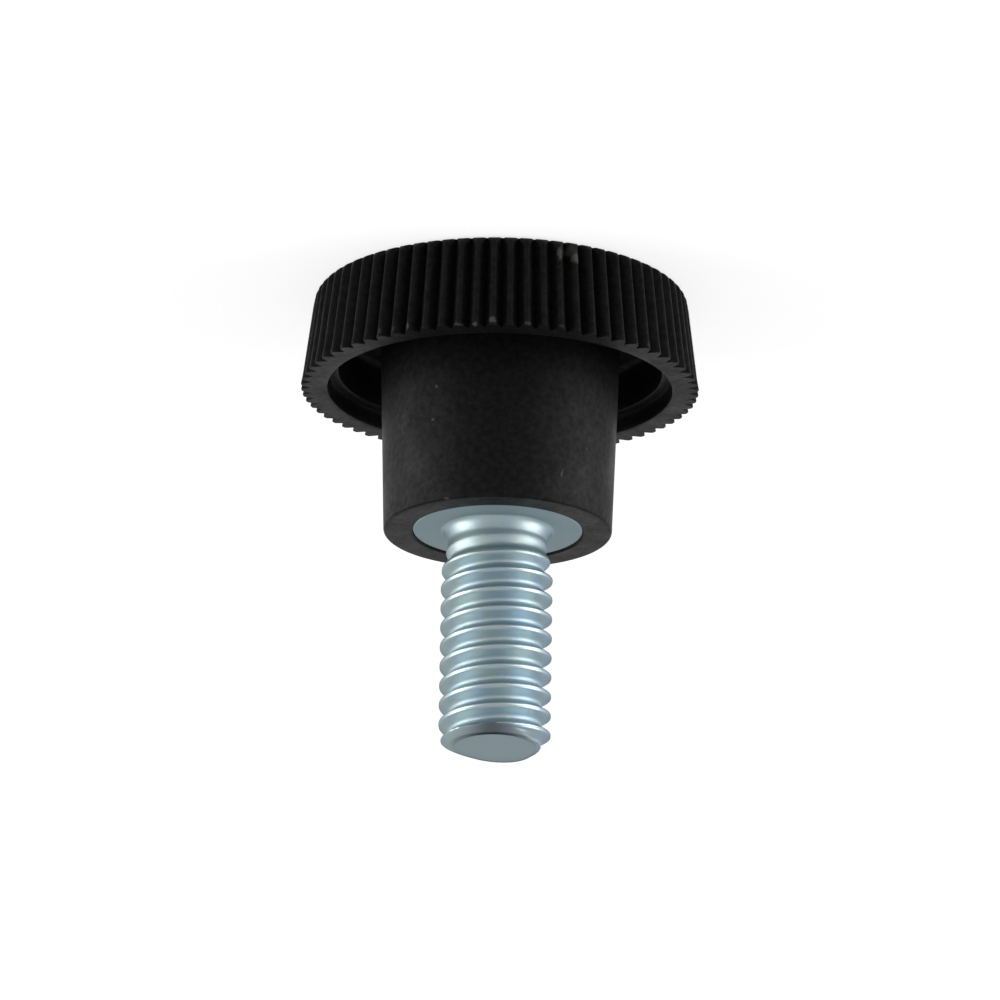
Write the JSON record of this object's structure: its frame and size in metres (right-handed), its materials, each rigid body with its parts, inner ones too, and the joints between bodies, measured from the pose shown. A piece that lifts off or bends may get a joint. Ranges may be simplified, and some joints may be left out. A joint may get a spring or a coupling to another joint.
{
  "type": "thumb screw",
  "caption": "Knurled plastic thumb screw head, hollow round a tapered hub, pressed on a zinc plated socket head cap screw.",
  "frame": {"origin": "centre of the knob's flat top, on which the thumb screw stands", "axes": "+Z along the thread's axis, from the knob's flat top to the screw's point; X and Y are square to it"},
  "size_m": [0.028, 0.028, 0.0332],
  "materials": {
    "moulded_plastic": "satin",
    "zinc_plated_steel": "bright"
  },
  "bodies": {
    "root": {"knob": "moulded_plastic", "cap_screw": "zinc_plated_steel"}
  },
  "joints": []
}
